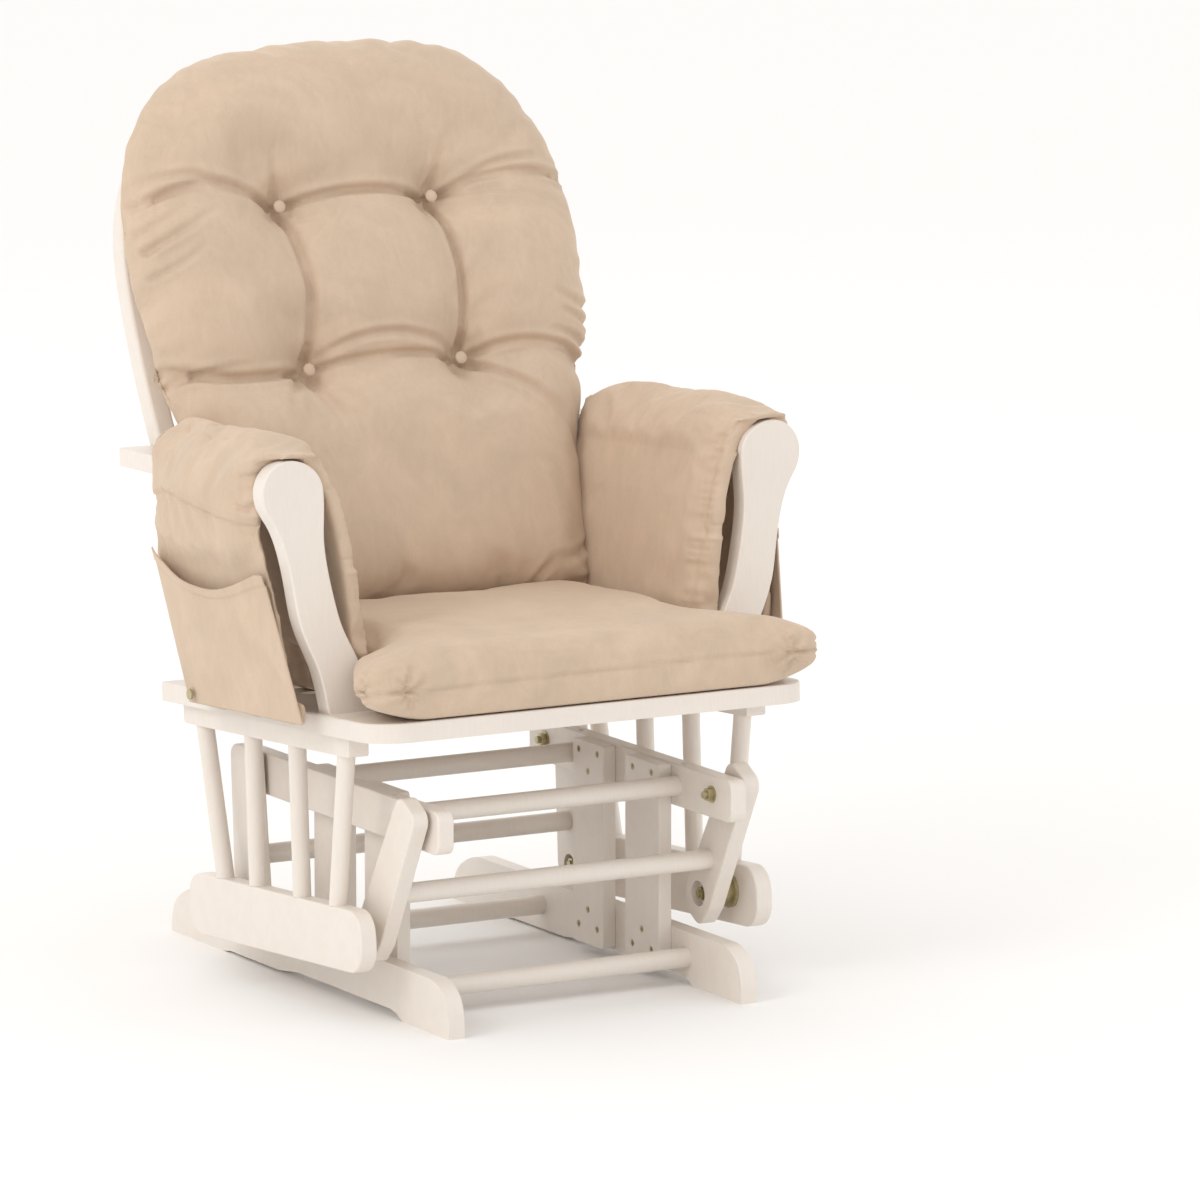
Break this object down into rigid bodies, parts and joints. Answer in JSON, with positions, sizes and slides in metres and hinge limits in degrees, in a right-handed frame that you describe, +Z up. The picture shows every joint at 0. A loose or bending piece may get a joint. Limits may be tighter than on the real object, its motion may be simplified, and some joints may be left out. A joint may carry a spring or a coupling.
{
  "type": "glider nursery chair",
  "caption": "Painted wooden glider chair: seat hung on swing arms from a fixed base, bentwood hoop back, buttoned back cushion, box seat cushion and padded arms with side pockets.",
  "frame": {"origin": "on the floor, under the middle of the chair's bounding box at rest", "axes": "+Z up, -Y is the way the chair faces, +X is to the sitter's left"},
  "size_m": [0.6624, 0.7043, 0.9891],
  "materials": {
    "painted_wood": "satin paint",
    "zinc_hardware": "yellow zinc plate",
    "beige_microsuede": "brushed microfibre"
  },
  "bodies": {
    "base": {"runner_left": "painted_wood", "fixed_rail_left": "painted_wood", "upright_front_left": "painted_wood", "upright_rear_left": "painted_wood", "runner_right": "painted_wood", "fixed_rail_right": "painted_wood", "upright_front_right": "painted_wood", "upright_rear_right": "painted_wood", "runner_rod_front": "painted_wood", "runner_rod_rear": "painted_wood", "rail_rod_front": "painted_wood", "rail_rod_rear": "painted_wood", "upright_screws": "zinc_hardware", "top_pivot_bolts": "zinc_hardware", "top_pivot_nuts": "zinc_hardware", "top_bearing_flanges": "zinc_hardware", "rail_pins": "painted_wood"},
    "front_link": {"swing_arm_front_left": "painted_wood", "swing_arm_front_right": "painted_wood", "arm_rod_front": "painted_wood"},
    "rear_link": {"swing_arm_rear_left": "painted_wood", "swing_arm_rear_right": "painted_wood", "arm_rod_rear": "painted_wood"},
    "seat": {"lower_rail_left": "painted_wood", "side_rail_left": "painted_wood", "spindles_left": "painted_wood", "seat_side_board_left": "painted_wood", "arm_post_left": "painted_wood", "arm_board_left": "painted_wood", "arm_pad_left": "beige_microsuede", "arm_pocket_left": "beige_microsuede", "lower_rail_right": "painted_wood", "side_rail_right": "painted_wood", "spindles_right": "painted_wood", "seat_side_board_right": "painted_wood", "arm_post_right": "painted_wood", "arm_board_right": "painted_wood", "arm_pad_right": "beige_microsuede", "arm_pocket_right": "beige_microsuede", "bottom_pivot_bolts": "zinc_hardware", "bottom_pivot_nuts": "zinc_hardware", "bearing_cups": "zinc_hardware", "hoop_bolts": "zinc_hardware", "seat_front_board": "painted_wood", "seat_rear_board": "painted_wood", "seat_slats": "painted_wood", "back_hoop": "painted_wood", "back_slats": "painted_wood", "back_rail": "painted_wood", "seat_cushion": "beige_microsuede", "back_cushion": "beige_microsuede", "cushion_buttons": "beige_microsuede", "pad_snaps": "zinc_hardware"}
  },
  "joints": [
    {"name": "rear_swing", "type": "hinge", "parent": "base", "child": "rear_link", "pos_m": [0, 0.0769, 0.218], "axis": [1, 0, 0], "range_deg": [-10.1, 10.1]},
    {"name": "front_swing", "type": "hinge", "parent": "base", "child": "front_link", "pos_m": [0, -0.2891, 0.218], "axis": [1, 0, 0], "range_deg": [-12.2, 12.2]},
    {"name": "seat_swing", "type": "hinge", "parent": "rear_link", "child": "seat", "pos_m": [0, 0.06489, 0.0768], "axis": [1, 0, 0], "range_deg": [-13.6, 13.6]}
  ],
  "couplings": [
    {"joint": "front_swing", "follows": "rear_swing", "ratio": 1.1965},
    {"joint": "seat_swing", "follows": "rear_swing", "ratio": -1.3333}
  ]
}
